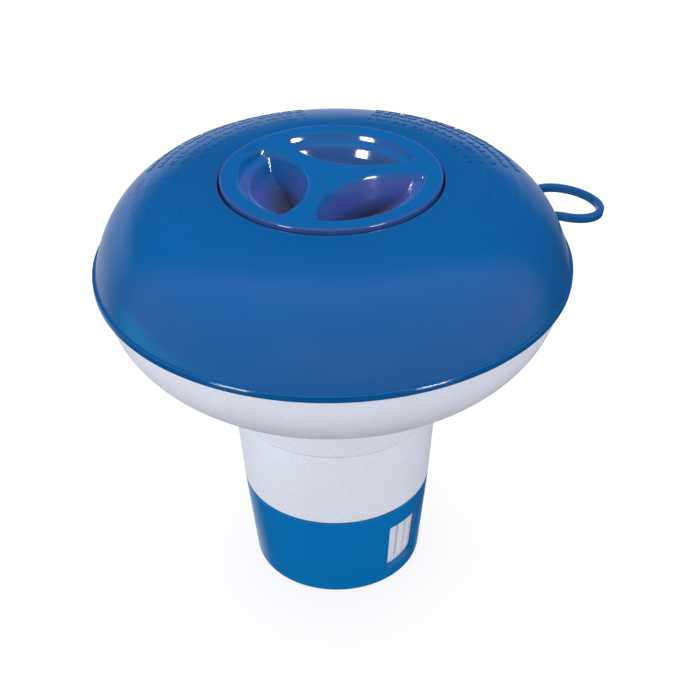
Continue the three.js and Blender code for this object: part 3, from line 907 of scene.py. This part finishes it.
def build_cup():
    """Blue cup that turns on the stem's foot and opens or shuts the slots behind its windows."""
    head_bottom = BASKET_FLOOR + WALL + BOSS_HEIGHT + HUB_CLEARANCE
    head_top = head_bottom + HUB_HEAD_HEIGHT
    head_radius = HUB_RADIUS + HUB_OVERHANG
    outline = rounded(
        [
            (0, 0),
            (CUP_FOOT_RADIUS, 0, 0.9),
            (CUP_TOP_RADIUS, CUP_TOP, 0.35),
            (CUP_TOP_RADIUS - CUP_WALL, CUP_TOP, 0.35),
            (CUP_FOOT_RADIUS - CUP_WALL, CUP_FLOOR, 0.6),
            (HUB_RADIUS, CUP_FLOOR, 0.4),
            (HUB_RADIUS, head_bottom),
            (head_radius, head_bottom, 0.2),
            (head_radius, head_top, 0.8),
            (0, head_top),
        ],
        closed=False,
    )
    cup = turned("flow_cup_shell", outline)
    hole = long_hole(WINDOW_SWEEP / 2, WINDOW_BOTTOM, WINDOW_TOP, 0.7)
    for azimuth in WINDOW_AZIMUTHS:
        combine(cup, porthole("window", azimuth, hole, 21.0, 29.0), "DIFFERENCE")
    drill(cup, CUP_DRAIN_RADIUS, -PAST, CUP_FLOOR + PAST)
    reach = PEG_RADIUS + PEG_CLEARANCE
    first = PEG_AZIMUTH - FLOW_TRAVEL - FLOW_SPARE
    last = PEG_AZIMUTH + FLOW_SPARE
    track = arc_prism(PEG_ORBIT - reach, PEG_ORBIT + reach, first, last, -PAST, CUP_FLOOR + PAST)
    combine(cup, track, "DIFFERENCE")
    return place(cup, "flow_cup", cup_blue, ["flow_cup"])


# ---- Tablets ----
def build_tablets():
    """Three pressed tablets, each with a shallow dished face inside a chamfered rim."""
    for k in (1, 2, 3):
        node = f"tablet_{k}"
        low, high = corners(node)
        centre = (low + high) / 2
        radius = (high[0] - low[0]) / 2
        height = high[2] - low[2]
        outline = rounded(
            [
                (0, 0.3),
                (radius - 3.0, 0.3, 2.0),
                (radius - 1.6, 0, 0.5),
                (radius, 1.4, 0.5),
                (radius, height - 1.4, 0.5),
                (radius - 1.6, height, 0.5),
                (radius - 3.0, height - 0.3, 2.0),
                (0, height - 0.3),
            ],
            closed=False,
        )
        tablet = turned(f"pressed_tablet_{k}", outline, 96)
        tablet.data.transform(Matrix.Translation((centre[0], centre[1], low[2])))
        place(tablet, "float", powder, [node])


dome = build_dome()
build_raised_rows()
build_hull()
build_loop()
lid = build_lid()
build_lid_arrow()
build_gasket()
build_stem()
build_cup()
build_tablets()


# ---- Stage ----
def pale_floor():
    """A plain floor that gives off its own pale light and shows in no reflection."""
    half = 3.0  # of its width, in metres
    mesh = bpy.data.meshes.new("floor")
    edges = [(-half, -half, 0), (half, -half, 0), (half, half, 0), (-half, half, 0)]
    mesh.from_pydata(edges, [], [(0, 1, 2, 3)])
    floor = bpy.data.objects.new("floor", mesh)
    bpy.context.scene.collection.objects.link(floor)
    g = Graph(bpy.data.materials.new("pale_floor"))
    tone = g.ramp(g.noise(3.0), (0.3, (0.20, 0.203, 0.206)), (0.7, (0.215, 0.218, 0.221)))
    roughness = g.ramp(g.noise(8.0), (0.3, 0.9), (0.7, 0.95))
    g.finish(tone, roughness, g.bump(g.noise(300), 0.00002))
    g.shader.inputs["Emission Color"].default_value = (1, 1, 1, 1)
    g.shader.inputs["Emission Strength"].default_value = 0.80
    mesh.materials.append(g.owner)
    floor.visible_glossy = False
    floor.visible_diffuse = False
    floor.visible_shadow = False


def panel(name, azimuth, elevation, distance, width, height, power):
    """An area light, given in metres, that faces the middle of the float."""
    target = Vector((0, 0, 0.09))
    a, e = math.radians(azimuth), math.radians(elevation)
    offset = Vector((math.cos(a) * math.cos(e), math.sin(a) * math.cos(e), math.sin(e)))
    data = bpy.data.lights.new(name, "AREA")
    data.shape = "RECTANGLE"
    data.size, data.size_y = width, height
    data.energy = power
    lamp = bpy.data.objects.new(name, data)
    lamp.location = target + offset * distance
    lamp.rotation_euler = (-offset).to_track_quat("-Z", "Y").to_euler()
    bpy.context.scene.collection.objects.link(lamp)
    return lamp


def softbox(name, azimuth, elevation, distance, width, height, power, colour):
    """A light that no reflection shows."""
    lamp = panel(name, azimuth, elevation, distance, width, height, power)
    lamp.data.color = colour
    lamp.visible_glossy = False


def window(name, azimuth, elevation, power, piece):
    """A bright pane that only the reflections of one piece show."""
    pane = panel(name, azimuth, elevation, 2.5, 0.6, 0.35, power)
    pane.visible_diffuse = False
    receivers = bpy.data.collections.new(name)
    receivers.objects.link(piece)
    pane.light_linking.receiver_collection = receivers


def studio_sky():
    """An even pale sky for soft light, and a separate one that only reflections show.

    The reflected one is mauve ahead and overhead, and nearly dark behind. Ahead, a little below the
    horizon, it has a blue glow like a floor's, brightest to the left. Low down behind, it has a pale
    band, broader on the left, that shows along the dome's edges.
    """
    world = bpy.data.worlds.new("studio")
    bpy.context.scene.world = world
    g = Graph(world, "Generated")
    x, y, z = g.axis("X"), g.axis("Y"), g.axis("Z")
    mauve = g.mix(g.span(x, 0.2, 0.8), (0.42, 0.33, 0.43), (0.52, 0.38, 0.52))
    floor_glow = g.mix(g.span(x, -0.3, 0.1), (0.22, 1.10, 1.42), (0.26, 0.38, 0.50))
    below = g.mix(g.span(z, -0.42, -0.47), floor_glow, (0.02, 0.02, 0.03))
    ahead = g.mix(g.span(z, -0.12, -0.17), mauve, below)
    behind = g.span(y, 0.12, 0.5, "SMOOTHSTEP")
    dim_back = g.mix(behind, ahead, (0.04, 0.05, 0.08))
    low_down = g.mix(g.span(z, 0.35, 0.10, "SMOOTHSTEP"), (0.0, 0.0, 0.0), (1.0, 1.0, 1.0))
    on_the_right = g.span(x, -0.1, 0.4)
    far_back = g.mix(on_the_right, g.span(y, 0.35, 0.65), g.span(y, 0.75, 0.98))
    band = g.mix(1.0, low_down, far_back, "MULTIPLY")
    reflected = g.mix(band, dim_back, (0.50, 0.55, 0.64))
    path = g.add("ShaderNodeLightPath")
    soft = g.mix(g.span(z, -0.05, 0.05), LOWER_SKY, SKY)
    chosen = g.mix(path.outputs["Is Glossy Ray"], soft, reflected)
    background = g.tree.nodes["Background"]
    g.link(chosen, background, "Color")
    background.inputs["Strength"].default_value = 1.0


def studio_camera():
    """A camera above the front, tipped down at the float and fitted to the rings the photo shows."""
    place_at = Vector((0.0, -0.32997, 0.29664))
    pitch, yaw, roll = 0.605, 0.013, -0.012
    forward = Vector(
        (math.sin(yaw) * math.cos(pitch), math.cos(yaw) * math.cos(pitch), -math.sin(pitch))
    )
    right = forward.cross(Vector((0, 0, 1))).normalized()
    down = forward.cross(right)
    level = right * math.cos(roll) - down * math.sin(roll)
    upward = -(right * math.sin(roll) + down * math.cos(roll))
    data = bpy.data.cameras.new("camera")
    data.sensor_width = 36.0
    data.lens = 74.14
    data.clip_start = 0.01
    camera = bpy.data.objects.new("camera", data)
    axes = Matrix((level, upward, -forward)).transposed()
    camera.matrix_world = Matrix.Translation(place_at) @ axes.to_4x4()
    bpy.context.scene.collection.objects.link(camera)
    bpy.context.scene.camera = camera


SKY = (0.63, 0.65, 0.67)
LOWER_SKY = (0.27, 0.27, 0.285)
pale_floor()
studio_sky()
# azimuth, elevation, distance, width, height, power and colour
softbox("overhead", 90, 78, 1.1, 1.2, 1.2, 10.0, (0.97, 1.0, 1.0))
softbox("front_fill", -90, 18, 1.3, 1.4, 0.6, 8.2, (1.0, 0.97, 1.0))
softbox("left_fill", 180, 2, 1.3, 1.2, 0.9, 7.0, (1.0, 0.97, 1.0))
softbox("right_fill", 0, -10, 1.3, 1.2, 0.9, 3.8, (1.0, 0.95, 1.0))
for side, azimuth in (("left", -137), ("right", -45)):
    window(f"{side}_low_window", azimuth, -27, 16.0, dome)
    window(f"{side}_high_window", azimuth, 24, 45.0, lid)
studio_camera()
bpy.context.scene.view_settings.view_transform = "Standard"
